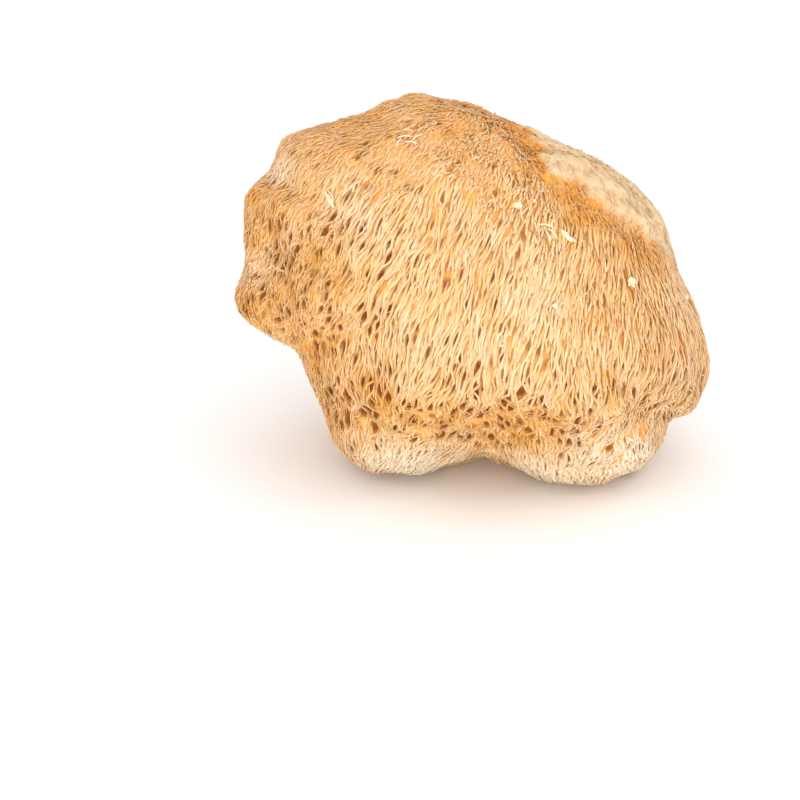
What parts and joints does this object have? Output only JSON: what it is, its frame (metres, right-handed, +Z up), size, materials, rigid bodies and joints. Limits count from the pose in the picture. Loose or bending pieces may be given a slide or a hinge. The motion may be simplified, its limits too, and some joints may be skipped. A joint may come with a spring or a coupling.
{
  "type": "dried lion's mane mushroom",
  "caption": "Dried lion's mane mushroom: a rounded, lobed head covered in close-lying spines, with a bare felt shoulder and a flat cut foot that it rests on.",
  "frame": {"origin": "on the flat cut foot that the mushroom rests on, near the foot's middle", "axes": "+Z up, away from the foot; +X to the viewer's right, along the head's longest way; +Y away from the viewer, so the pictured side faces -Y"},
  "size_m": [0.0867, 0.0739, 0.0688],
  "materials": {
    "dried_flesh": "matte"
  },
  "bodies": {
    "root": {"fruit_body": "dried_flesh"}
  },
  "joints": []
}
